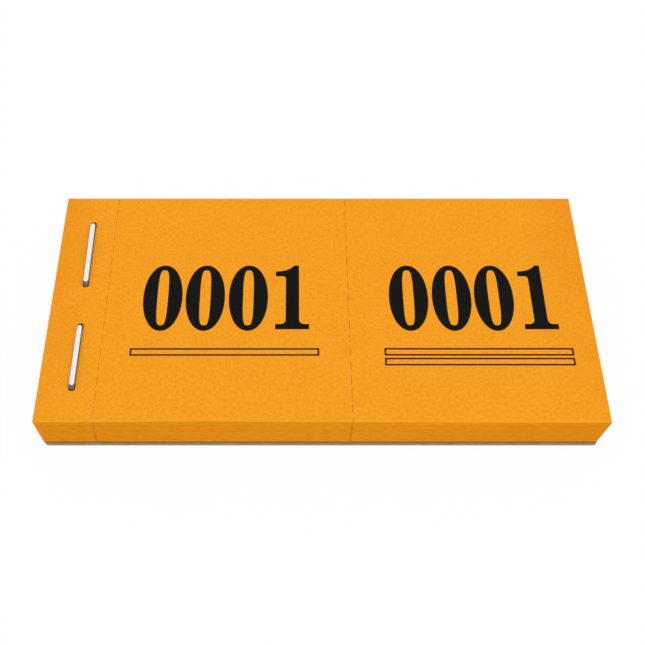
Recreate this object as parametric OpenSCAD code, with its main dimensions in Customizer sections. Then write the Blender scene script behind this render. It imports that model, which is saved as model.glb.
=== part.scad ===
// Numbered ticket book: a stapled block of perforated paper leaves on a grey backing board.
// The origin is under the middle of the book. X runs from the stub to the free end,
// Y from front to back and Z up. Leaf 1 is on top. All lengths are in millimetres.

/* [Book] */
// Width of the stub that the staples hold
stub_w = 10.7; // [9:0.1:14]
// Width of one ticket
ticket_w = 47.15; // [35:0.05:60]
// Depth of the book from front to back
book_d = 51; // [46:0.5:70]
// Thickness of the backing board
board_t = 1.3; // [1.2:0.1:2.5]

/* [Leaves] */
// Leaves in each pack
pack_leaves = 10; // [6:1:12]
// Thickness of one leaf
leaf_t = 0.092; // [0.07:0.002:0.12]
// Air between one leaf and the next
leaf_air = 0.005; // [0.002:0.001:0.01]

/* [Perforation] */
// Width of a perforation slit
slit_w = 0.25; // [0.1:0.05:0.4]
// Length of one paper tie between two slits, a little longer than a slit
tie_l = 1.6; // [0.8:0.1:2]
// Distance from tie to tie on the leaves that come into view
tie_pitch = 3; // [2:0.25:5]
// Distance from tie to tie on the leaves deep in the block
deep_tie_pitch = 17; // [10:1:25]

/* [Staple wire] */
// Width of the flattened wire
wire_w = 1.2; // [0.9:0.05:1.4]
// Thickness of the flattened wire
wire_t = 0.8; // [0.5:0.05:0.85]
// Inner radius of the wire's bends
bend_r = 0.4; // [0.2:0.05:0.5]
// Length of a clinched leg from the outside of its bend to its tip
clinch_l = 6; // [4:0.25:6.5]
// Height of the clinched legs above the underside of the board
clinch_inset = 0.05; // [0.02:0.01:0.2]
// Clearance around the wire in its slots
wire_clear = 0.05; // [0.02:0.01:0.1]

/* [Front staple] */
// Length of the front crown over both legs
front_crown = 14.25; // [14:0.25:18]
// Distance from the left edge to the front staple
front_inset = 6.3; // [4:0.05:6.5]
// Distance from the front edge to the middle of the front staple
front_middle = 13.4; // [11:0.05:14]
// Angle that the front staple went in at
front_lean = 0; // [-3:0.05:3]

/* [Rear staple] */
// Length of the rear crown over both legs
rear_crown = 15.65; // [14:0.25:18]
// Distance from the left edge to the rear staple
rear_inset = 6.15; // [4:0.05:6.5]
// Distance from the front edge to the middle of the rear staple
rear_middle = 36.8; // [33:0.05:37]
// Angle that the rear staple went in at
rear_lean = 0.55; // [-3:0.05:3]

/* [Hidden] */
$fn = 48;

// Packs of leaves in the block, and the loose leaves on top that move one by one
packs = 10;
loose_leaves = 3;

book_w = stub_w + 2 * ticket_w;
left_x = -book_w / 2;
front_y = -book_d / 2;
stub_line = left_x + stub_w;
ticket_line = stub_line + ticket_w;

leaves = packs * pack_leaves;
block_top = leaf_bottom(1) + leaf_t;

// Crown, inset, middle and lean of each staple, and what a bend takes up from the outside of a leg
front_place = [front_crown, front_inset, front_middle, front_lean];
rear_place = [rear_crown, rear_inset, rear_middle, rear_lean];
bend_reach = wire_t + bend_r;

function leaf_bottom(leaf) = board_t + (leaves - leaf) * (leaf_t + leaf_air);
function half_crown(place) = place[0] / 2;
function two_digits(number) = str(number < 10 ? "0" : "", number);
function pack_name(piece, pack) = str(piece, "_pack_", two_digits(pack));
function loose_name(piece, leaf) = str(piece, "_", leaf);
function first_leaf(pack) = (pack - 1) * pack_leaves + 1;
function last_leaf(pack) = pack * pack_leaves;

// The loose leaves and the first leaf of the block under them can be seen when they move
function is_in_view(leaf) = leaf <= loose_leaves + 1;

// The part of a ticket's left edge that steps out to a tie and back, kept within the depth of the book
function tie_edge(middle) =
    let (low = middle - tie_l / 2, high = middle + tie_l / 2)
    concat(
        low > 0 ? [[slit_w, low], [0, low]] : [[0, 0]],
        high < book_d ? [[0, high], [slit_w, high]] : [[0, book_d]]
    );

// A perforation runs from edge to edge and begins and ends in the middle of a slit or of a tie
module ticket_outline(leaf, slit_first) {
    ties = round(book_d / (is_in_view(leaf) ? tie_pitch : deep_tie_pitch));
    spacing = book_d / ties;
    middles = [for (tie = [0:ties - (slit_first ? 1 : 0)]) (tie + (slit_first ? 0.5 : 0)) * spacing];
    polygon(concat(
        [[ticket_w, book_d], [ticket_w, 0]],
        slit_first ? [[slit_w, 0]] : [],
        [for (middle = middles) each tie_edge(middle)],
        slit_first ? [[slit_w, book_d]] : []
    ));
}

module ticket(leaf, line, slit_first) {
    translate([line, front_y, leaf_bottom(leaf)])
        linear_extrude(leaf_t)
            ticket_outline(leaf, slit_first);
}

// The slits of each leaf lie over the ties of the next one
module inner_ticket(leaf) {
    color("orange") ticket(leaf, stub_line, leaf % 2 == 0);
}

module outer_ticket(leaf) {
    color("orange") ticket(leaf, ticket_line, leaf % 2 == 1);
}

module inner_tickets(pack) {
    for (leaf = [max(first_leaf(pack), loose_leaves + 1):last_leaf(pack)]) inner_ticket(leaf);
}

module outer_tickets(pack) {
    for (leaf = [max(first_leaf(pack), loose_leaves + 1):last_leaf(pack)]) outer_ticket(leaf);
}

module stub(leaf) {
    translate([0, 0, leaf_bottom(leaf)])
        linear_extrude(leaf_t)
            difference() {
                translate([left_x, front_y]) square([stub_w, book_d]);
                leg_slots();
            }
}

module stubs(pack) {
    color("orange") for (leaf = [first_leaf(pack):last_leaf(pack)]) stub(leaf);
}

// What is the same at both staples, and at both legs of a staple
module at_staple(place) {
    inset = place[1];
    middle = place[2];
    lean = place[3];
    translate([left_x + inset, front_y + middle]) rotate(lean) children();
}

module at_both_legs() {
    children();
    mirror([0, 1]) children();
}

// Openings for the wire at all four legs, from the outside of a leg as far in as its reach
module wire_openings(reach) {
    length = reach + 2 * wire_clear;
    width = wire_w + 2 * wire_clear;
    for (place = [front_place, rear_place])
        at_staple(place)
            at_both_legs()
                translate([-width / 2, half_crown(place) + wire_clear - length])
                    square([width, length]);
}

// The slots that the legs go through, with room for the inside of their bends
module leg_slots() {
    wire_openings(bend_reach);
}

// The grooves in the underside of the board that the clinched legs are pressed into
module clinch_grooves() {
    wire_openings(clinch_l);
}

module backing_board() {
    groove_h = clinch_inset + wire_t;
    color("darkkhaki")
        difference() {
            translate([left_x, front_y, 0]) cube([book_w, book_d, board_t]);
            translate([0, 0, -board_t]) linear_extrude(3 * board_t) leg_slots();
            translate([0, 0, -groove_h]) linear_extrude(2 * groove_h) clinch_grooves();
        }
}

// Wire: flattened, with round sides. X is across the wire and Y through it, from 0 up
module wire_section() {
    side = (wire_w - wire_t) / 2;
    translate([-side, 0]) square([2 * side, wire_t]);
    for (x = [-side, side]) translate([x, wire_t / 2]) circle(d = wire_t);
}

// A quarter bend about the X axis, from straight up to straight back
module wire_bend() {
    rotate([0, -90, 0])
        rotate_extrude(angle = 90)
            translate([bend_r, 0])
                mirror([1, -1])
                    wire_section();
}

// Straight wire along +Y from the origin, lying on the XY plane
module wire_run(length) {
    translate([0, length, 0])
        rotate([90, 0, 0])
            linear_extrude(length)
                wire_section();
}

// The back half of a staple: half the crown, a leg with its two bends, and the clinched end
module half_staple(reach) {
    bend_y = reach - bend_reach;
    top_bend_z = block_top - bend_r;
    low_bend_z = clinch_inset + bend_reach;
    translate([0, 0, block_top]) wire_run(bend_y);
    translate([0, bend_y, top_bend_z]) wire_bend();
    translate([0, bend_y + bend_r, low_bend_z])
        linear_extrude(top_bend_z - low_bend_z)
            wire_section();
    translate([0, bend_y, low_bend_z]) mirror([0, 0, 1]) wire_bend();
    translate([0, reach - clinch_l, clinch_inset]) wire_run(clinch_l - bend_reach);
}

module staple(place) {
    color("silver")
        at_staple(place)
            at_both_legs()
                half_staple(half_crown(place));
}

backing_board();
staple(front_place);  // front_staple
staple(rear_place);  // rear_staple
for (leaf = [1:loose_leaves]) {
    inner_ticket(leaf);
    outer_ticket(leaf);
}
for (pack = [1:packs]) {
    stubs(pack);
    inner_tickets(pack);
    outer_tickets(pack);
}
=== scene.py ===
"""A book of numbered tickets: perforated leaves of orange paper, stapled by their stubs to a grey board."""
import math
import random

import bpy
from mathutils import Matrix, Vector
from mathutils.geometry import delaunay_2d_cdt


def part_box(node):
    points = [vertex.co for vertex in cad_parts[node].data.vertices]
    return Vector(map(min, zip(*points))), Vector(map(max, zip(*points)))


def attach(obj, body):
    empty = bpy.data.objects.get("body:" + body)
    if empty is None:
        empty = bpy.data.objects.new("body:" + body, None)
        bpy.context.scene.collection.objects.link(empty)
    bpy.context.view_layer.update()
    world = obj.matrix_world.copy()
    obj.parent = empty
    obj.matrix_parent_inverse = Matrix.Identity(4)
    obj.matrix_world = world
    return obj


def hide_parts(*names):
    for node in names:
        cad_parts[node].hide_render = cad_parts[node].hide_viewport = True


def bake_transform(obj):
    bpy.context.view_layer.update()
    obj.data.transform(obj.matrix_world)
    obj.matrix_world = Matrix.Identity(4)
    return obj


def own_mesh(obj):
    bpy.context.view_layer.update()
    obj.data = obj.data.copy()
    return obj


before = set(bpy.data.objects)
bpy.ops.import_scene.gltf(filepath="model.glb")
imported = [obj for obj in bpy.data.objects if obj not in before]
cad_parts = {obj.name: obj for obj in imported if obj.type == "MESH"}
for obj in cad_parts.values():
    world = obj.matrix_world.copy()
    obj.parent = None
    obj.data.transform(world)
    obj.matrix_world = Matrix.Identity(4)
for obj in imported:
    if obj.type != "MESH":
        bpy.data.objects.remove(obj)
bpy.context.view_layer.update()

# Lengths are in millimetres here, and become metres where Blender takes them
MM = 0.001
SEED = 7
random_source = random.Random(SEED)


# The book's places, taken from the frame
def box_mm(node):
    low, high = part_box(node)
    return low / MM, high / MM


board_low, board_high = box_mm("backing_board")
inner_low, inner_high = box_mm("inner_ticket_1")
second_low, _ = box_mm("inner_ticket_2")
outer_low, _ = box_mm("outer_ticket_1")
staple_low, staple_high = box_mm("front_staple")

left_x = board_low.x
right_x = board_high.x
front_y = board_low.y
back_y = board_high.y
stub_line = inner_low.x
ticket_line = outer_low.x
leaf_t = inner_high.z - inner_low.z
leaf_pitch = inner_low.z - second_low.z
block_top = inner_high.z
book_depth = back_y - front_y
wire_width = staple_high.x - staple_low.x

# The loose leaves on top move one by one, and the printed ones come into view
PACKS = 10
PACK_LEAVES = 10
LOOSE_LEAVES = 3
PRINTED_LEAVES = 4
leaves = PACKS * PACK_LEAVES

# Perforations: slits between ties, which end just short of the paper that they hold on to. Slits are
# narrower in the two top leaves. The first tie's middle lies that far from the front edge in the two top
# leaves, and anywhere in a range in lower ones
SLIT_WIDTH = 0.17
STUB_SLIT = 0.09
TICKET_SLIT = 0.12
TIE_LENGTH = 1.2
TIE_GAP = 0.004
STUB_PITCH = 3.0
STUB_TIE = 0.75
TICKET_PITCH = 2.94
TICKET_TIE = 1.24
LOWER_TIES = (0.7, 2.3)

# Leaves are perforated two at a time, and not in quite the same place. The second pair is staggered to the
# right and every second one under it to the left, and lower ones drift to the left. Both lines of a leaf
# lean to the right at the front
PERFORATED_TOGETHER = 2
STAGGER = 0.17
STUB_SHIFT = -0.005
STUB_LEAN = 0.06
STUB_DRIFT = 0.8
TICKET_SHIFT = 0.02
TICKET_LEAN = 0.18
TICKET_DRIFT = 0.02

# Leaves are trimmed a little unevenly, and lower ones lie further left. The front edge is cut askew, so
# that the top leaf is a little deeper at the right end
TRIM_ERROR = 0.015
STACK_LEAN = 0.11
TRIM_SKEW = 0.14

# The length over which a leaf bends at its fold, and the lines that divide it there, clear of the slits
PACK_BEND = 5.0
LEAF_BEND = 0.7
BEND_COLUMNS = 7
BEND_MARGIN = 0.12

# The top leaves swell a little at the front edge
SWOLLEN_LEAVES = 14
SWELL_HEIGHT = 0.4
SWELL_X = -22.0
SWELL_WIDTH = 10.0
SWELL_DEPTH = 6.0
SWELL_REACH = 3 * SWELL_DEPTH
SWELL_GRID = 2.5

# Tones of the page edges. The lowest leaves are painted dark, as a painted shadow where the block meets the
# board. The top ones are yellower, most of all where they swell and least at the right end. The rest change
# from section to section, and are redder at both ends of the book
SHADED_LEAVES = 6
SECTION_LEAVES = 5
SHADOW_TONE = 0.05
SECTION_TONES = (0.4, 0.64)
YELLOW_TONE = 0.82
TONE_SPREAD = 0.06
NARROW_SPREAD = 0.02
END_REDNESS = 0.16
SWELL_YELLOW = 0.16
YELLOW_FADE = 0.46

# Tones of the leaves' faces, in sRGB from 0 to 255. They are redder over that length at each end, more and
# more from a line in front of the book to the back edge. Along the front edge a painted highlight makes
# them lighter
LEFT_REDDENING = 7.0
RIGHT_REDDENING = 11.0
REDDENING_START = 20.0
END_TINT = (249, 240, 227)
HIGHLIGHT_RIM = 0.5
HIGHLIGHT_COLOUR = (245, 161, 36)

# Shares of the clouds in the paper's colour and of the flecks in the board's
CLOUD_SHARE = 0.4
FLECK_SHARE = 0.4

# Staples: how each leans, its oval wire, cut at a slant at the ends, and slots in the leaves that clear it
STAPLE_LEANS = {"front_staple": 0.0, "rear_staple": math.radians(0.55)}
WIRE_THICKNESS = 0.8
WIRE_ROUNDNESS = 2.2
WIRE_SIDES = 40
BEND_RADIUS = 0.4
BEND_STEPS = 18
CROWN_STEPS = 24
CLINCH_LENGTH = 6.0
CLINCH_INSET = 0.05
TIP_SLANT = 0.6
WIRE_CLEARANCE = 0.02
REAR_CLEARANCE = 0.2
SLOT_STEPS = 36

# The crown is bright over that share of its width, and as far round its bends as that many degrees. Above
# a height, taken from the middle of the wire, the rest of it is painted dark as shade, and so in part are
# the legs
BRIGHT_SIDE = 0.76
BRIGHT_BLUR = 0.1
NEAR_BRIGHT_TURN = 12.0
FAR_BRIGHT_TURN = 30.0
SHADE_FROM = -0.15
LEG_SHADE = 0.5
CLINCH_SHADE = 0.3

# Print, measured from the left and front edges of the book. The figures are spaced a little unevenly, and
# each bar has the place of its corner and its length
NUMBER_Y = 19.02
INNER_PLACES = (17.87, 26.2, 34.65, 43.05)
OUTER_PLACES = (66.04, 74.48, 82.77, 91.11)
CAP_HEIGHT = 15.07
BAR_HEIGHT = 1.63
BAR_STROKE = 0.34
INNER_BARS = [(16.29, 13.62, 35.9)]
OUTER_BARS = [(64.53, 13.65, 35.82), (64.53, 11.55, 35.82)]

# Sheets are cut into triangles that lie inside the outlines alone, with points joined that nearly meet. A
# point is on a straight edge where it is that near to it
INSIDE_OUTLINES = 1
CUT_TOLERANCE = 1e-5
ON_EDGE = 0.01

# The angles from which the edges of meshes are sharp, and the worn edges of the board
PAPER_SHARP = math.radians(40)
WIRE_SHARP = math.radians(50)
BOARD_WEAR = 0.05
BOARD_WEAR_STEPS = 2

# The studio, with the camera where the photo's stood. White shows as white at full strength, and the floor
# comes near it
WHITE = (1, 1, 1, 1)
FULL_WHITE = 1.0
FLOOR_GREY = (0.94, 0.94, 0.94, 1)
FLOOR_WHITENESS = 0.95
FLOOR_HALF = 3000
FLOOR_DROP = 0.02
AMBIENT_LIGHT = 0.75
LAMP_PLACE = Vector((60, -120, 720))
LAMP_SIZE = 500
LAMP_POWER = 1.54
CAMERA_PLACE = Vector((-4.709, -90.496, 158.34))
CAMERA_TILT = math.radians(30.232)
CAMERA_LENS = 49.342
CAMERA_SENSOR = 36
CAMERA_SHIFT = 0.04093
CAMERA_NEAREST = 10


# Flat outlines: lists of (x, y) that run anticlockwise
def oval(centre, half_width, half_height, power=2.0, steps=72):
    points = []
    for step in range(steps):
        angle = math.tau * step / steps
        across = math.cos(angle)
        up = math.sin(angle)
        x = centre[0] + half_width * math.copysign(abs(across) ** (2 / power), across)
        y = centre[1] + half_height * math.copysign(abs(up) ** (2 / power), up)
        points.append((x, y))
    return points


def rectangle(x, y, width, height):
    return [(x, y), (x + width, y), (x + width, y + height), (x, y + height)]


def curve(start, control, end, steps=10):
    """Points of a quadratic curve, from its start up to its end."""
    points = []
    for step in range(steps + 1):
        t = step / steps
        weights = ((1 - t) ** 2, 2 * t * (1 - t), t ** 2)
        corners = (start, control, end)
        points.append(tuple(sum(w * c[axis] for w, c in zip(weights, corners)) for axis in (0, 1)))
    return points


def smooth_path(knots, steps=8):
    """A smooth path through knots of any number of values, after Catmull and Rom."""
    ends = [knots[0]] + knots + [knots[-1]]
    path = []
    for index in range(1, len(ends) - 2):
        before, start, end, after = ends[index - 1:index + 3]
        for step in range(steps):
            t = step / steps
            point = []
            for a, b, c, d in zip(before, start, end, after):
                bend = 2 * a - 5 * b + 4 * c - d
                twist = 3 * b - a - 3 * c + d
                point.append(b + 0.5 * t * (c - a + t * (bend + t * twist)))
            path.append(tuple(point))
    path.append(knots[-1])
    return path


def ribbon(knots):
    """A pen stroke through knots of x, y and half its width."""
    path = smooth_path(knots)
    left = []
    right = []
    for index, (x, y, half) in enumerate(path):
        x0, y0, _ = path[max(index - 1, 0)]
        x1, y1, _ = path[min(index + 1, len(path) - 1)]
        length = math.hypot(x1 - x0, y1 - y0)
        across = ((y0 - y1) / length * half, (x1 - x0) / length * half)
        left.append((x + across[0], y + across[1]))
        right.append((x - across[0], y - across[1]))
    return right + left[::-1]


# Digits: their inked outlines and the openings in them, from the lower left corner of a figure's place
def digit_0():
    inked = oval((3.8, CAP_HEIGHT / 2), 3.84, CAP_HEIGHT / 2, power=2.08)
    opening = oval((3.78, 7.57), 1.03, 6.32, power=3.5)
    return [inked], [opening]


def digit_1():
    points = [(0.7, 0.35), (7.27, 0.35), (7.27, 1.53)]
    points += curve((6.35, 1.53), (5.33, 1.58), (5.33, 2.65))
    points += [(5.33, 15.08)]
    points += curve((4.38, 15.08), (3.35, 13.72), (0.74, 13.64))
    points += [(0.74, 12.5)]
    points += curve((2.05, 12.5), (2.72, 12.48), (2.72, 11.8))
    points += curve((2.72, 2.65), (2.72, 1.58), (1.7, 1.53))
    points += [(0.7, 1.53)]
    return [points], []


def digit_2():
    ball = oval((2.05, 10.95), 1.45, 1.55)
    stroke = ribbon([
        (0.92, 11.2, 0.3), (1.6, 13.5, 0.42), (3.6, 14.45, 0.5), (5.5, 13.1, 1.0), (6.05, 10.8, 1.32),
        (5.4, 8.2, 1.2), (3.8, 5.6, 0.8), (2.2, 3.6, 0.55), (1.25, 2.0, 0.5), (1.0, 0.9, 0.3),
    ])
    foot = [(0.7, 0.35), (6.65, 0.35)]
    foot += curve((6.65, 0.35), (7.15, 2.2), (7.3, 4.4))
    foot += curve((6.75, 4.4), (6.5, 2.75), (5.5, 2.75))
    foot += [(1.65, 2.75)]
    return [ball, stroke, foot], []


def digit_3():
    upper_ball = oval((2.05, 11.5), 1.35, 1.4)
    lower_ball = oval((2.0, 3.4), 1.45, 1.5)
    upper_bowl = ribbon([
        (1.0, 11.7, 0.3), (1.75, 13.8, 0.42), (3.55, 14.45, 0.5), (5.2, 13.3, 0.95), (5.65, 11.4, 1.2),
        (5.05, 9.3, 0.85), (3.65, 8.1, 0.45), (2.65, 7.85, 0.35),
    ])
    lower_bowl = ribbon([
        (2.65, 7.85, 0.35), (4.05, 7.6, 0.5), (5.55, 6.2, 1.1), (6.1, 4.1, 1.32), (5.45, 1.75, 1.0),
        (3.65, 0.55, 0.48), (1.75, 1.1, 0.42), (0.9, 3.2, 0.3),
    ])
    return [upper_ball, lower_ball, upper_bowl, lower_bowl], []


def digit_4():
    sail = [(0.1, 3.75), (6.35, 3.75), (6.35, 15.0), (4.75, 15.0), (0.1, 4.9)]
    opening = [(1.15, 4.9), (3.85, 4.9), (3.85, 11.0)]
    arm = rectangle(6.2, 3.75, 1.4, 1.15)
    stem = rectangle(3.85, 1.0, 2.5, 3.0)
    foot = rectangle(2.6, 0.35, 5.0, 1.18)
    return [sail, arm, stem, foot], [opening]


DIGITS = {"0": digit_0, "1": digit_1, "2": digit_2, "3": digit_3, "4": digit_4}


def moved(points, x, y):
    return [(px + x, py + y) for px, py in points]


def ticket_print(number, places, bars):
    """The inked outlines and the openings of a ticket's number and of the empty bars under it."""
    inked = []
    openings = []
    for place, figure in zip(places, f"{number:04d}"):
        solid, hollow = DIGITS[figure]()
        inked += [moved(points, left_x + place, front_y + NUMBER_Y) for points in solid]
        openings += [moved(points, left_x + place, front_y + NUMBER_Y) for points in hollow]
    for x, y, length in bars:
        bar = (left_x + x, front_y + y)
        inked.append(rectangle(*bar, length, BAR_HEIGHT))
        inside = (bar[0] + BAR_STROKE, bar[1] + BAR_STROKE)
        openings.append(rectangle(*inside, length - 2 * BAR_STROKE, BAR_HEIGHT - 2 * BAR_STROKE))
    return inked, openings


# Flat sheets: their points, their faces and which of the faces are inked
def cut_sheet(outline, columns=(), rows=(), holes=(), inked=(), openings=()):
    """A sheet cut into triangles along its holes, its print and the columns and rows to bend it at."""
    points = []
    faces = []
    edges = []
    for loop in [outline, *holes, *inked, *openings]:
        faces.append(list(range(len(points), len(points) + len(loop))))
        points += loop
    for x in columns:
        edges.append((len(points), len(points) + 1))
        points += [(x, front_y), (x, back_y)]
    for y in rows:
        edges.append((len(points), len(points) + 1))
        points += [(left_x, y), (right_x, y)]
    first_ink = 1 + len(holes)
    first_opening = first_ink + len(inked)
    places = [Vector(point) for point in points]
    cut = delaunay_2d_cdt(places, edges, faces, INSIDE_OUTLINES, CUT_TOLERANCE)
    corners, _, triangles, _, _, origins = cut
    kept = []
    inks = []
    for triangle, origin in zip(triangles, origins):
        if 0 not in origin or any(0 < face < first_ink for face in origin):
            continue
        in_ink = any(first_ink <= face < first_opening for face in origin)
        in_opening = any(face >= first_opening for face in origin)
        kept.append(tuple(triangle))
        inks.append(in_ink and not in_opening)
    return [(corner.x, corner.y) for corner in corners], kept, inks


def plain_sheet(left, right, columns, rows):
    """A sheet without print, from all points of its left edge and the two of its right, front to back."""
    heights = [front_y, *rows, back_y]
    lines = [[(x, y) for y in heights] for x in columns]
    lean = (right[1][0] - right[0][0]) / book_depth
    lines.append([right[0], *[(right[0][0] + lean * (y - front_y), y) for y in rows], right[1]])
    count = len(heights)
    points = [point for line in lines for point in line]
    strip = list(range(count))
    strip += range(len(points) + len(left) - 1, len(points) - 1, -1)
    faces = [tuple(strip)]
    for first in range(0, len(points) - count, count):
        for place in range(first, first + count - 1):
            faces.append((place, place + count, place + count + 1, place + 1))
    return points + left, faces, [False] * len(faces)


# Places of the leaves
def leaf_bottom(leaf):
    return block_top - leaf_t - (leaf - 1) * leaf_pitch


def depth_share(leaf):
    """0 at the top leaf and 1 at the lowest."""
    return (leaf - 1) / (leaves - 1)


# Perforations
def stagger(leaf):
    pair = (leaf - 1) // PERFORATED_TOGETHER
    return STAGGER if pair == 1 else -STAGGER * (pair % 2)


def stub_edge(leaf, y):
    """Where a leaf tears from its stub."""
    lean = STUB_LEAN * (back_y - y) / book_depth
    return stub_line + STUB_SHIFT + stagger(leaf) + lean - STUB_DRIFT * depth_share(leaf)


def ticket_edge(leaf, y):
    """Where a leaf tears between its tickets."""
    lean = TICKET_LEAN * (back_y - y) / book_depth
    return ticket_line + TICKET_SHIFT + stagger(leaf) + lean - TICKET_DRIFT * depth_share(leaf)


def slit_width(leaf, top_slit):
    return top_slit if leaf <= PERFORATED_TOGETHER else SLIT_WIDTH


def tied_edge(first_tie, pitch, slit):
    """A perforated edge from front to back, which steps out to each tie and back to the slits."""
    points = []
    middle = front_y + first_tie
    while middle - TIE_LENGTH / 2 < back_y:
        low = middle - TIE_LENGTH / 2
        high = middle + TIE_LENGTH / 2
        if high > front_y:
            points += [(slit, low), (TIE_GAP, low)] if low > front_y else [(TIE_GAP, front_y)]
            points += [(TIE_GAP, high), (slit, high)] if high < back_y else [(TIE_GAP, back_y)]
        middle += pitch
    if points[0][1] > front_y:
        points.insert(0, (slit, front_y))
    if points[-1][1] < back_y:
        points.append((slit, back_y))
    return points


def bend_columns(edge, line, bend):
    """Lines to bend a ticket at, beside its perforated edge."""
    columns = [line + bend * step / BEND_COLUMNS for step in range(1, BEND_COLUMNS + 1)]
    return [x for x in columns if bend and x > edge + BEND_MARGIN]


# The swell of the top leaves
def swell_lines(leaf, low, high):
    """Lines that divide a leaf that swells, a few millimetres apart."""
    count = round((high - low) / SWELL_GRID) if leaf <= SWOLLEN_LEAVES else 1
    return [low + (high - low) * step / count for step in range(1, count)]


def wave(x, y):
    """The form of the swell, 1 where it is highest."""
    across = math.exp(-((x - SWELL_X) / SWELL_WIDTH) ** 2)
    along = math.exp(-((y - front_y) / SWELL_DEPTH) ** 2)
    return across * along


def swell(leaf, x, y):
    """How far the leaf stands up at that point."""
    return SWELL_HEIGHT * max(0.0, 1 - (leaf - 1) / SWOLLEN_LEAVES) * wave(x, y)


# The sheets of a leaf
def inner_sheet(leaf, bend, with_print):
    stub_tie, _ = leaf_ties[leaf]
    edge = tied_edge(stub_tie, STUB_PITCH, slit_width(leaf, STUB_SLIT))
    left = [(stub_edge(leaf, y) + x, y) for x, y in edge]
    right = [(ticket_edge(leaf, y), y) for y in (front_y, back_y)]
    columns = bend_columns(max(left)[0], stub_line, bend)
    columns += swell_lines(leaf, stub_line + bend, ticket_line)
    rows = swell_lines(leaf, front_y, front_y + SWELL_REACH)
    if not with_print:
        return plain_sheet(left, right, columns, rows)
    inked, openings = ticket_print(leaf, INNER_PLACES, INNER_BARS)
    return cut_sheet(right + left[::-1], columns, rows, inked=inked, openings=openings)


def outer_sheet(leaf, bend, with_print):
    _, ticket_tie = leaf_ties[leaf]
    edge = tied_edge(ticket_tie, TICKET_PITCH, slit_width(leaf, TICKET_SLIT))
    left = [(ticket_edge(leaf, y) + x, y) for x, y in edge]
    end_x = right_x - STACK_LEAN * depth_share(leaf)
    right = [(end_x, front_y - TRIM_SKEW * (1 - depth_share(leaf))), (end_x, back_y)]
    columns = bend_columns(max(left)[0], ticket_line, bend)
    if not with_print:
        return plain_sheet(left, right, columns, ())
    inked, openings = ticket_print(leaf, OUTER_PLACES, OUTER_BARS)
    return cut_sheet(right + left[::-1], columns, inked=inked, openings=openings)


# The slots for the staples, and the stubs that they go through
def staple_middle(node):
    low, high = box_mm(node)
    return (low + high) / 2


def half_crown(node):
    low, high = box_mm(node)
    return (high.y - low.y) / 2


def turned(point, angle, middle):
    """A point of a staple, turned by the angle and moved to the staple's middle."""
    x, y = point
    return (
        middle.x + x * math.cos(angle) - y * math.sin(angle),
        middle.y + x * math.sin(angle) + y * math.cos(angle),
    )


def slot_outline(far):
    """The opening for a leg, as far from the staple's middle as that on the outside, where it is round."""
    half = wire_width / 2 + WIRE_CLEARANCE
    depth = WIRE_THICKNESS / 2 + WIRE_CLEARANCE
    near_end = far - WIRE_THICKNESS - BEND_RADIUS - REAR_CLEARANCE
    wire = oval((0, far - depth), half, depth, WIRE_ROUNDNESS, SLOT_STEPS)
    return [(-half, near_end), (half, near_end)] + wire[:SLOT_STEPS // 2 + 1]


def leg_slots():
    """The openings for the legs of both staples."""
    slots = []
    for node, lean in STAPLE_LEANS.items():
        for turn, room in ((lean, REAR_CLEARANCE), (lean + math.pi, WIRE_CLEARANCE)):
            outline = slot_outline(half_crown(node) + room)
            slots.append([turned(point, turn, staple_middle(node)) for point in outline])
    return slots


def stub_sheets():
    """Each leaf and its stub. The stubs differ in their outer and torn edges alone."""
    outline = rectangle(left_x, front_y, stub_line - left_x, book_depth)
    points, faces, inks = cut_sheet(outline, holes=leg_slots())
    for leaf in range(1, leaves + 1):
        corners = []
        for x, y in points:
            if math.isclose(x, left_x, abs_tol=ON_EDGE):
                x -= STACK_LEAN * depth_share(leaf)
            elif math.isclose(x, stub_line, abs_tol=ON_EDGE):
                x = stub_edge(leaf, y)
            corners.append((x, y))
        yield leaf, (corners, faces, inks)


# Pieces
def add_object(name, data):
    made = bpy.data.objects.new(name, data)
    bpy.context.scene.collection.objects.link(made)
    return made


def make_piece(name, points, faces, materials, sharp_angle):
    """A smooth piece, apart from the edges that turn by more than that angle."""
    mesh = bpy.data.meshes.new(name)
    mesh.from_pydata(points, [], faces)
    for material in materials:
        mesh.materials.append(material)
    mesh.polygons.foreach_set("use_smooth", [True] * len(faces))
    mesh.set_sharp_from_angle(angle=sharp_angle)
    mesh.update()
    return add_object(name, mesh)


# Leaves are stacked into meshes, whose materials come in this order
FACE, EDGE, INK = range(3)


class Stack:
    """The points and faces of a mesh of flat sheets, with a tone at each point."""

    def __init__(self):
        self.points = []
        self.faces = []
        self.finishes = []
        self.tones = []

    def add(self, sheet, leaf):
        """Adds a sheet of that leaf: its top, its underside and the sides along its outline."""
        corners, faces, inks = sheet
        shift_x, shift_y = leaf_errors[leaf]
        count = len(corners)
        base = len(self.points)
        for z in (leaf_bottom(leaf), leaf_bottom(leaf) + leaf_t):
            for x, y in corners:
                height = z + swell(leaf, x, y)
                self.points.append(((x + shift_x) * MM, (y + shift_y) * MM, height * MM))
        self.tones += [edge_tone(leaf, x, y) for x, y in corners] * 2
        sides = set()
        for face, inked in zip(faces, inks):
            self.faces.append(tuple(base + count + corner for corner in face))
            self.faces.append(tuple(base + corner for corner in reversed(face)))
            self.finishes += [INK if inked else FACE, FACE]
            sides.update(zip(face, face[1:] + face[:1]))
        for a, b in sorted(sides):
            if (b, a) not in sides:
                self.faces.append((base + a, base + b, base + count + b, base + count + a))
                self.finishes.append(EDGE)

    def build(self, name):
        piece = make_piece(name, self.points, self.faces, (paper_face, paper_edge, ink), PAPER_SHARP)
        mesh = piece.data
        mesh.polygons.foreach_set("material_index", self.finishes)
        tone = mesh.attributes.new("leaf_tone", "FLOAT", "POINT")
        tone.data.foreach_set("value", self.tones)
        place = mesh.attributes.new("rest_place", "FLOAT_VECTOR", "POINT")
        place.data.foreach_set("vector", [value for point in self.points for value in point])
        return piece


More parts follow.
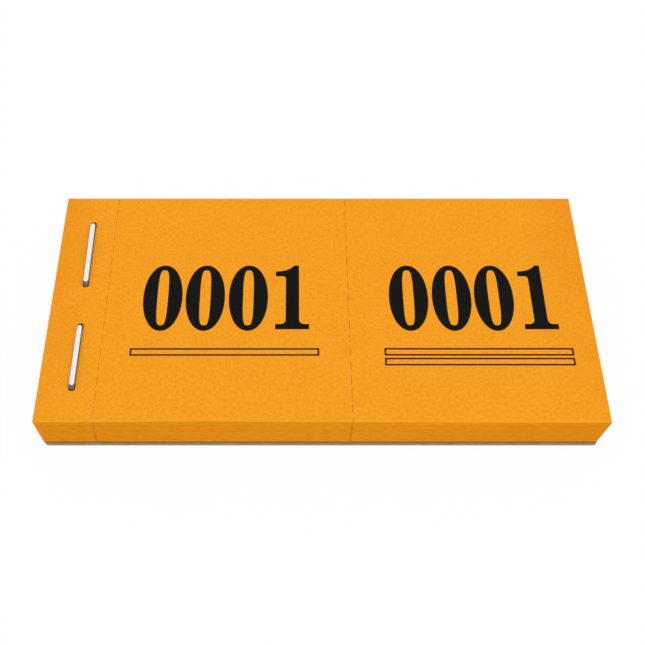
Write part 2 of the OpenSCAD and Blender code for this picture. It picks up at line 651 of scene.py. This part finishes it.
# What differs from leaf to leaf
def near(value, spread):
    return random_source.uniform(value - spread, value + spread)


def leaf_tone(leaf, section_tone):
    """Tones up to 0.1 are a painted shadow, from 0.15 to 0.7 plain and from 0.8 yellower."""
    if leaf > leaves - SHADED_LEAVES:
        return near(SHADOW_TONE, NARROW_SPREAD)
    if leaf <= SWOLLEN_LEAVES:
        return near(YELLOW_TONE, NARROW_SPREAD)
    return near(section_tone, TONE_SPREAD)


def edge_tone(leaf, x, y):
    """The tone of the leaf's edge at that point."""
    # The lowest leaves keep their dark tone, a painted shadow where the block meets the board
    if leaf > leaves - SHADED_LEAVES:
        return leaf_tones[leaf]
    if leaf <= SWOLLEN_LEAVES:
        fade = max(0.0, x - ticket_line) / (right_x - ticket_line)
        return leaf_tones[leaf] + SWELL_YELLOW * wave(x, y) - YELLOW_FADE * fade
    return leaf_tones[leaf] - END_REDNESS * abs(x) / right_x


leaf_errors = {}
leaf_tones = {}
leaf_ties = {}


def vary_leaves():
    """Settles each leaf's first ties, how far it is trimmed out of place, and its tone."""
    ties = (STUB_TIE, TICKET_TIE)
    section_tone = sum(SECTION_TONES) / 2
    for leaf in range(1, leaves + 1):
        if leaf % SECTION_LEAVES == 0:
            section_tone = random_source.uniform(*SECTION_TONES)
        if leaf > 1 and leaf % PERFORATED_TOGETHER == 1:
            ties = (random_source.uniform(*LOWER_TIES), random_source.uniform(*LOWER_TIES))
        leaf_ties[leaf] = ties
        leaf_errors[leaf] = (near(0, TRIM_ERROR), near(0, TRIM_ERROR))
        leaf_tones[leaf] = leaf_tone(leaf, section_tone)


# Nodes. A mix of colours has its sockets at these places
MIX_FACTOR, MIX_FIRST, MIX_SECOND = 0, 6, 7
MIX_RESULT = 2


def linear(colour):
    """A colour in sRGB from 0 to 255, in the linear values that nodes take."""
    values = []
    for value in colour:
        share = value / 255
        values.append(share / 12.92 if share <= 0.04045 else ((share + 0.055) / 1.055) ** 2.4)
    return (*values, 1.0)


class Nodes:
    """The nodes of a material or of the world."""

    def __init__(self, owner):
        owner.use_nodes = True
        self.tree = owner.node_tree

    def feed(self, socket, value):
        """Gives an input another node's output or a plain value."""
        if isinstance(value, bpy.types.NodeSocket):
            self.tree.links.new(value, socket)
        else:
            socket.default_value = value

    def node(self, kind, inputs, **settings):
        made = self.tree.nodes.new(kind)
        for name, value in settings.items():
            setattr(made, name, value)
        for name, value in inputs.items():
            self.feed(made.inputs[name], value)
        return made

    def math(self, operation, first, second):
        return self.node("ShaderNodeMath", {0: first, 1: second}, operation=operation).outputs[0]

    def seen_directly(self):
        """1 for a ray from the camera, or one that metal or glass passed on."""
        rays = self.node("ShaderNodeLightPath", {}).outputs
        passed_on = self.math("MAXIMUM", rays["Is Glossy Ray"], rays["Is Transmission Ray"])
        return self.math("MAXIMUM", rays["Is Camera Ray"], passed_on)

    def show(self, output, share, first, second):
        """Shows a mix of two shaders, with that share of the second one."""
        sources = {0: share, 1: first.outputs[0], 2: second.outputs[0]}
        mix = self.node("ShaderNodeMixShader", sources)
        self.feed(self.tree.nodes[output].inputs["Surface"], mix.outputs[0])


class Shader(Nodes):
    """A material's nodes, with its main shader at hand."""

    def __init__(self, name):
        self.material = bpy.data.materials.new(name)
        super().__init__(self.material)
        self.main = self.tree.nodes["Principled BSDF"]

    def set_main(self, name, value):
        self.feed(self.main.inputs[name], value)

    def noise(self, size_mm, detail, roughness=0.55, stretch=(1, 1, 1)):
        """Noise whose blots are about that size."""
        point = self.node("ShaderNodeTexCoord", {}).outputs["Object"]
        place = self.node("ShaderNodeMapping", {"Vector": point, "Scale": stretch}).outputs["Vector"]
        scale = 1 / (size_mm * MM)
        inputs = {"Vector": place, "Scale": scale, "Detail": detail, "Roughness": roughness}
        return self.node("ShaderNodeTexNoise", inputs).outputs["Fac"]

    def ramp(self, factor, *stops):
        """Colours in sRGB from 0 to 255 at their places between 0 and 1."""
        ramp = self.node("ShaderNodeValToRGB", {"Fac": factor})
        elements = ramp.color_ramp.elements
        while len(elements) < len(stops):
            elements.new(0.5)
        for element, (place, colour) in zip(elements, stops):
            element.position = place
            element.color = linear(colour)
        return ramp.outputs["Color"]

    def mix(self, factor, first, second, blend="MIX"):
        inputs = {MIX_FACTOR: factor, MIX_FIRST: first, MIX_SECOND: second}
        return self.node("ShaderNodeMix", inputs, data_type="RGBA", blend_type=blend).outputs[MIX_RESULT]

    def span(self, factor, low, high, start=0.0, end=1.0):
        """A number that goes from low to high as the factor goes from start to end."""
        inputs = {"Value": factor, "From Min": start, "From Max": end, "To Min": low, "To Max": high}
        return self.node("ShaderNodeMapRange", inputs).outputs["Result"]

    def bump(self, height, strength, depth_mm):
        inputs = {"Height": height, "Strength": strength, "Distance": depth_mm * MM}
        self.set_main("Normal", self.node("ShaderNodeBump", inputs).outputs["Normal"])

    def attribute(self, name, output="Fac"):
        return self.node("ShaderNodeAttribute", {}, attribute_name=name).outputs[output]

    def rim(self, axis, inside, edge):
        """0 at that place inside the book and 1 at its edge, for a leaf's points as they lie at rest."""
        split = self.node("ShaderNodeSeparateXYZ", {"Vector": self.attribute("rest_place", "Vector")})
        return self.span(split.outputs[axis], low=0.0, high=1.0, start=inside * MM, end=edge * MM)


# Materials
def make_paper_face():
    shader = Shader("paper_face")
    grain = shader.noise(size_mm=0.55, detail=4)
    clouds = shader.noise(size_mm=6, detail=2)
    base = shader.ramp(grain, (0.3, (231, 143, 21)), (0.5, (244, 157, 31)), (0.7, (253, 169, 41)))
    tinted = shader.ramp(clouds, (0.3, (241, 153, 28)), (0.7, (247, 161, 35)))
    clouded = shader.mix(CLOUD_SHARE, base, tinted)
    # The faces turn redder towards both ends, more and more towards the back edge
    left_end = shader.rim("X", inside=left_x + LEFT_REDDENING, edge=left_x)
    right_end = shader.rim("X", inside=right_x - RIGHT_REDDENING, edge=right_x)
    to_back = shader.rim("Y", inside=front_y - REDDENING_START, edge=back_y)
    reddening = shader.math("MULTIPLY", shader.math("ADD", left_end, right_end), to_back)
    reddened = shader.mix(reddening, clouded, linear(END_TINT), "MULTIPLY")
    # A painted highlight along the front edge
    highlight_share = shader.rim("Y", inside=front_y + HIGHLIGHT_RIM, edge=front_y)
    shader.set_main("Base Color", shader.mix(highlight_share, reddened, linear(HIGHLIGHT_COLOUR)))
    shader.set_main("Roughness", shader.span(grain, low=0.72, high=0.92))
    shader.set_main("Specular IOR Level", 0.06)
    shader.bump(shader.noise(size_mm=0.3, detail=5), strength=0.25, depth_mm=0.02)
    return shader.material


def make_paper_edge():
    shader = Shader("paper_edge")
    tone = shader.attribute("leaf_tone")
    # Up to 0.1, the dark tones of the lowest leaves are a painted shadow where the block meets the board
    base = shader.ramp(tone, (0.0, (108, 72, 34)), (0.1, (156, 98, 30)), (0.15, (238, 146, 9)),
                       (0.7, (254, 165, 27)), (0.8, (241, 162, 21)), (1.0, (247, 171, 24)))
    streaks = shader.noise(size_mm=1.2, detail=3, stretch=(0.12, 0.12, 4))
    streak_shade = shader.ramp(streaks, (0.3, (246, 244, 232)), (0.7, (255, 255, 255)))
    streaked = shader.mix(1.0, base, streak_shade, "MULTIPLY")
    chips = shader.noise(size_mm=1.6, detail=4, stretch=(1, 1, 2))
    chip_shade = shader.ramp(chips, (0.35, (244, 241, 228)), (0.6, (255, 255, 255)))
    shader.set_main("Base Color", shader.mix(1.0, streaked, chip_shade, "MULTIPLY"))
    shader.set_main("Roughness", shader.span(streaks, low=0.8, high=0.95))
    shader.set_main("Specular IOR Level", 0.04)
    relief = shader.noise(size_mm=0.25, detail=4, stretch=(0.4, 0.4, 2))
    shader.bump(relief, strength=0.3, depth_mm=0.02)
    return shader.material


def make_ink():
    shader = Shader("printed_ink")
    cover = shader.noise(size_mm=0.35, detail=4)
    base = shader.ramp(cover, (0.25, (15, 15, 13)), (0.6, (20, 20, 17)), (0.85, (31, 28, 22)))
    shader.set_main("Base Color", base)
    shader.set_main("Roughness", shader.span(cover, low=0.55, high=0.75))
    shader.set_main("Specular IOR Level", 0.04)
    shader.bump(shader.noise(size_mm=0.3, detail=5), strength=0.2, depth_mm=0.02)
    return shader.material


def make_greyboard():
    shader = Shader("greyboard")
    pulp = shader.noise(size_mm=1.6, detail=5, roughness=0.65, stretch=(0.5, 1, 3))
    flecks = shader.noise(size_mm=0.35, detail=2)
    base = shader.ramp(pulp, (0.37, (135, 131, 106)), (0.5, (151, 148, 123)), (0.63, (166, 164, 140)))
    fleck = shader.ramp(flecks, (0.3, (96, 90, 76)), (0.4, (158, 151, 130)), (0.66, (158, 151, 130)),
                        (0.76, (196, 191, 176)))
    shader.set_main("Base Color", shader.mix(FLECK_SHARE, base, fleck))
    shader.set_main("Roughness", shader.span(pulp, low=0.82, high=0.97))
    shader.set_main("Specular IOR Level", 0.2)
    relief = shader.noise(size_mm=0.4, detail=5, stretch=(0.5, 1, 2))
    shader.bump(relief, strength=0.5, depth_mm=0.05)
    return shader.material


def make_wire():
    shader = Shader("zinc_wire")
    drawn = shader.noise(size_mm=0.5, detail=4, stretch=(6, 0.3, 6))
    bright = shader.ramp(drawn, (0.3, (226, 227, 228)), (0.7, (238, 238, 238)))
    # A dark grey, painted on the wire's sides, bends and legs as shade
    shaded = shader.ramp(drawn, (0.3, (82, 88, 94)), (0.7, (108, 114, 120)))
    shader.set_main("Base Color", shader.mix(shader.attribute("painted_shade"), bright, shaded))
    shader.set_main("Metallic", 1.0)
    shader.set_main("Roughness", shader.span(drawn, low=0.2, high=0.32))
    relief = shader.noise(size_mm=0.2, detail=4, stretch=(4, 0.3, 4))
    shader.bump(relief, strength=0.15, depth_mm=0.01)
    return shader.material


paper_face = make_paper_face()
paper_edge = make_paper_edge()
ink = make_ink()
greyboard = make_greyboard()
zinc_wire = make_wire()


# The leaves
def build_stubs():
    stacks = [Stack() for _ in range(PACKS)]
    for leaf, sheet in stub_sheets():
        stacks[(leaf - 1) // PACK_LEAVES].add(sheet, leaf)
    for pack, stack in enumerate(stacks, 1):
        piece = stack.build(f"stub_leaves_{pack:02d}")
        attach(piece, "bound_stub")
        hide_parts(f"stubs_pack_{pack:02d}")


def bend_piece(piece):
    """Bakes the piece's place into its mesh."""
    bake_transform(piece)


def build_packs():
    for pack in range(1, PACKS + 1):
        inner = Stack()
        outer = Stack()
        for leaf in range((pack - 1) * PACK_LEAVES + 1, pack * PACK_LEAVES + 1):
            if leaf <= LOOSE_LEAVES:
                continue
            printed = leaf <= PRINTED_LEAVES
            inner.add(inner_sheet(leaf, PACK_BEND, printed), leaf)
            outer.add(outer_sheet(leaf, 0, printed), leaf)
        body = f"pack_{pack:02d}"
        inner_piece = inner.build(f"inner_leaves_{pack:02d}")
        bend_piece(inner_piece)
        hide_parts(f"inner_tickets_pack_{pack:02d}")
        outer_piece = outer.build(f"outer_leaves_{pack:02d}")
        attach(outer_piece, body)
        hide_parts(f"outer_tickets_pack_{pack:02d}")


def loose_piece(name, node, leaf, sheet):
    stack = Stack()
    stack.add(sheet, leaf)
    piece = stack.build(name)
    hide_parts(node)
    return piece


def build_loose_leaves():
    inner = {}
    outer = {}
    for leaf in range(1, LOOSE_LEAVES + 1):
        outer_bend = LEAF_BEND if leaf == 1 else 0
        inner_cut = inner_sheet(leaf, LEAF_BEND, with_print=True)
        outer_cut = outer_sheet(leaf, outer_bend, with_print=True)
        inner[leaf] = loose_piece(f"inner_leaf_{leaf}", f"inner_ticket_{leaf}", leaf, inner_cut)
        outer[leaf] = loose_piece(f"outer_leaf_{leaf}", f"outer_ticket_{leaf}", leaf, outer_cut)
    bend_piece(inner[1])
    bend_piece(outer[1])
    bend_piece(inner[2])
    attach(outer[2], "ticket_2")
    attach(inner[3], "leaf_3")
    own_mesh(inner[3])
    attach(outer[3], "leaf_3")


# The staples
def crown_shade(across, out, heading):
    """0 on the bright part of the crown, which ends round, and 1 on its sides and bends, painted as shade.
    """
    bright_turn = NEAR_BRIGHT_TURN if heading > 0 else FAR_BRIGHT_TURN
    reach = math.hypot(2 * across / wire_width / BRIGHT_SIDE, math.degrees(heading) / bright_turn)
    share = (reach - 1) / BRIGHT_BLUR
    return min(max(share, 0.0), 1.0) if out > SHADE_FROM else 0.0


def wire_path(half):
    """Points of y, z, heading and, off the crown, painted shade, from the front leg's tip to the rear's."""
    radius = BEND_RADIUS + WIRE_THICKNESS / 2
    leg_y = half - WIRE_THICKNESS / 2
    top_z = block_top + WIRE_THICKNESS / 2
    low_z = CLINCH_INSET + WIRE_THICKNESS / 2
    front = [(CLINCH_LENGTH - half, low_z, math.pi, CLINCH_SHADE)]
    for step in range(BEND_STEPS + 1):
        turn = math.pi / 2 * step / BEND_STEPS
        y = radius - leg_y - radius * math.sin(turn)
        z = low_z + radius - radius * math.cos(turn)
        front.append((y, z, math.pi - turn, LEG_SHADE))
    for step in range(BEND_STEPS + 1):
        turn = math.pi / 2 * step / BEND_STEPS
        y = radius - leg_y - radius * math.cos(turn)
        z = top_z - radius + radius * math.sin(turn)
        front.append((y, z, math.pi / 2 - turn, None))
    crown_end = leg_y - radius
    crown = []
    for step in range(1, CROWN_STEPS):
        y = -crown_end + 2 * crown_end * step / CROWN_STEPS
        crown.append((y, top_z, 0.0, None))
    rear = [(-y, z, -heading, painted_shade) for y, z, heading, painted_shade in reversed(front)]
    return front + crown + rear


def build_staple(node, lean):
    middle = staple_middle(node)
    outline = oval((0, 0), wire_width / 2, WIRE_THICKNESS / 2, WIRE_ROUNDNESS, WIRE_SIDES)
    count = len(outline)
    path = wire_path(half_crown(node))
    slants = {0: TIP_SLANT, len(path) - 1: -TIP_SLANT}
    points = []
    painted_shade = []
    for index, (y, z, heading, shaded) in enumerate(path):
        for across, out in outline:
            along = slants.get(index, 0) * out
            local_y = y - out * math.sin(heading) + along * math.cos(heading)
            local_z = z + out * math.cos(heading) + along * math.sin(heading)
            x, turned_y = turned((across, local_y), lean, middle)
            points.append((x * MM, turned_y * MM, local_z * MM))
            painted_shade.append(crown_shade(across, out, heading) if shaded is None else shaded)
    faces = [tuple(range(count)), tuple(range(len(points) - 1, len(points) - count - 1, -1))]
    for ring in range(len(path) - 1):
        start = ring * count
        for step in range(count):
            after = (step + 1) % count
            faces.append((start + after, start + step, start + count + step, start + count + after))
    piece = make_piece(f"{node}_wire", points, faces, (zinc_wire,), WIRE_SHARP)
    # The painted shade of each point goes to the wire's material
    piece.data.attributes.new("painted_shade", "FLOAT", "POINT").data.foreach_set("value", painted_shade)
    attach(piece, "bound_stub")
    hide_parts(node)


def finish_board():
    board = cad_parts["backing_board"]
    board.data.materials.clear()
    board.data.materials.append(greyboard)
    bevel = board.modifiers.new("worn_edges", "BEVEL")
    bevel.width = BOARD_WEAR * MM
    bevel.segments = BOARD_WEAR_STEPS
    bevel.limit_method = "ANGLE"


# The studio
def make_floor():
    shader = Shader("studio_floor")
    shader.tree.nodes.remove(shader.main)
    matte = shader.node("ShaderNodeBsdfDiffuse", {"Color": FLOOR_GREY})
    white = shader.node("ShaderNodeEmission", {"Color": WHITE, "Strength": FULL_WHITE})
    share = shader.math("MULTIPLY", shader.seen_directly(), FLOOR_WHITENESS)
    shader.show("Material Output", share, matte, white)
    half = FLOOR_HALF * MM
    below = -FLOOR_DROP * MM
    mesh = bpy.data.meshes.new("floor")
    corners = [(-half, -half, below), (half, -half, below), (half, half, below), (-half, half, below)]
    mesh.from_pydata(corners, [], [(0, 1, 2, 3)])
    mesh.materials.append(shader.material)
    floor = add_object("floor", mesh)


def make_world():
    world = bpy.data.worlds.new("studio")
    bpy.context.scene.world = world
    nodes = Nodes(world)
    ambient = nodes.tree.nodes["Background"]
    nodes.feed(ambient.inputs["Color"], WHITE)
    nodes.feed(ambient.inputs["Strength"], AMBIENT_LIGHT)
    white = nodes.node("ShaderNodeBackground", {"Color": WHITE, "Strength": FULL_WHITE})
    nodes.show("World Output", nodes.seen_directly(), ambient, white)


def make_lamp():
    """A soft lamp over the book, aimed at the middle of its underside."""
    light = bpy.data.lights.new("overhead", "AREA")
    light.shape = "SQUARE"
    light.size = LAMP_SIZE * MM
    light.energy = LAMP_POWER
    lamp = add_object("overhead", light)
    lamp.location = LAMP_PLACE * MM
    lamp.rotation_euler = (-LAMP_PLACE).to_track_quat("-Z", "Y").to_euler()


def make_camera():
    lens = bpy.data.cameras.new("photo_view")
    lens.lens = CAMERA_LENS
    lens.sensor_width = CAMERA_SENSOR
    lens.shift_x = CAMERA_SHIFT
    lens.clip_start = CAMERA_NEAREST * MM
    camera = add_object("photo_view", lens)
    camera.location = CAMERA_PLACE * MM
    camera.rotation_euler = (CAMERA_TILT, 0, 0)
    bpy.context.scene.camera = camera


vary_leaves()
build_stubs()
build_packs()
build_loose_leaves()
for staple_node, staple_lean in STAPLE_LEANS.items():
    build_staple(staple_node, staple_lean)
finish_board()
make_floor()
make_world()
make_lamp()
make_camera()
bpy.context.scene.view_settings.view_transform = "Standard"
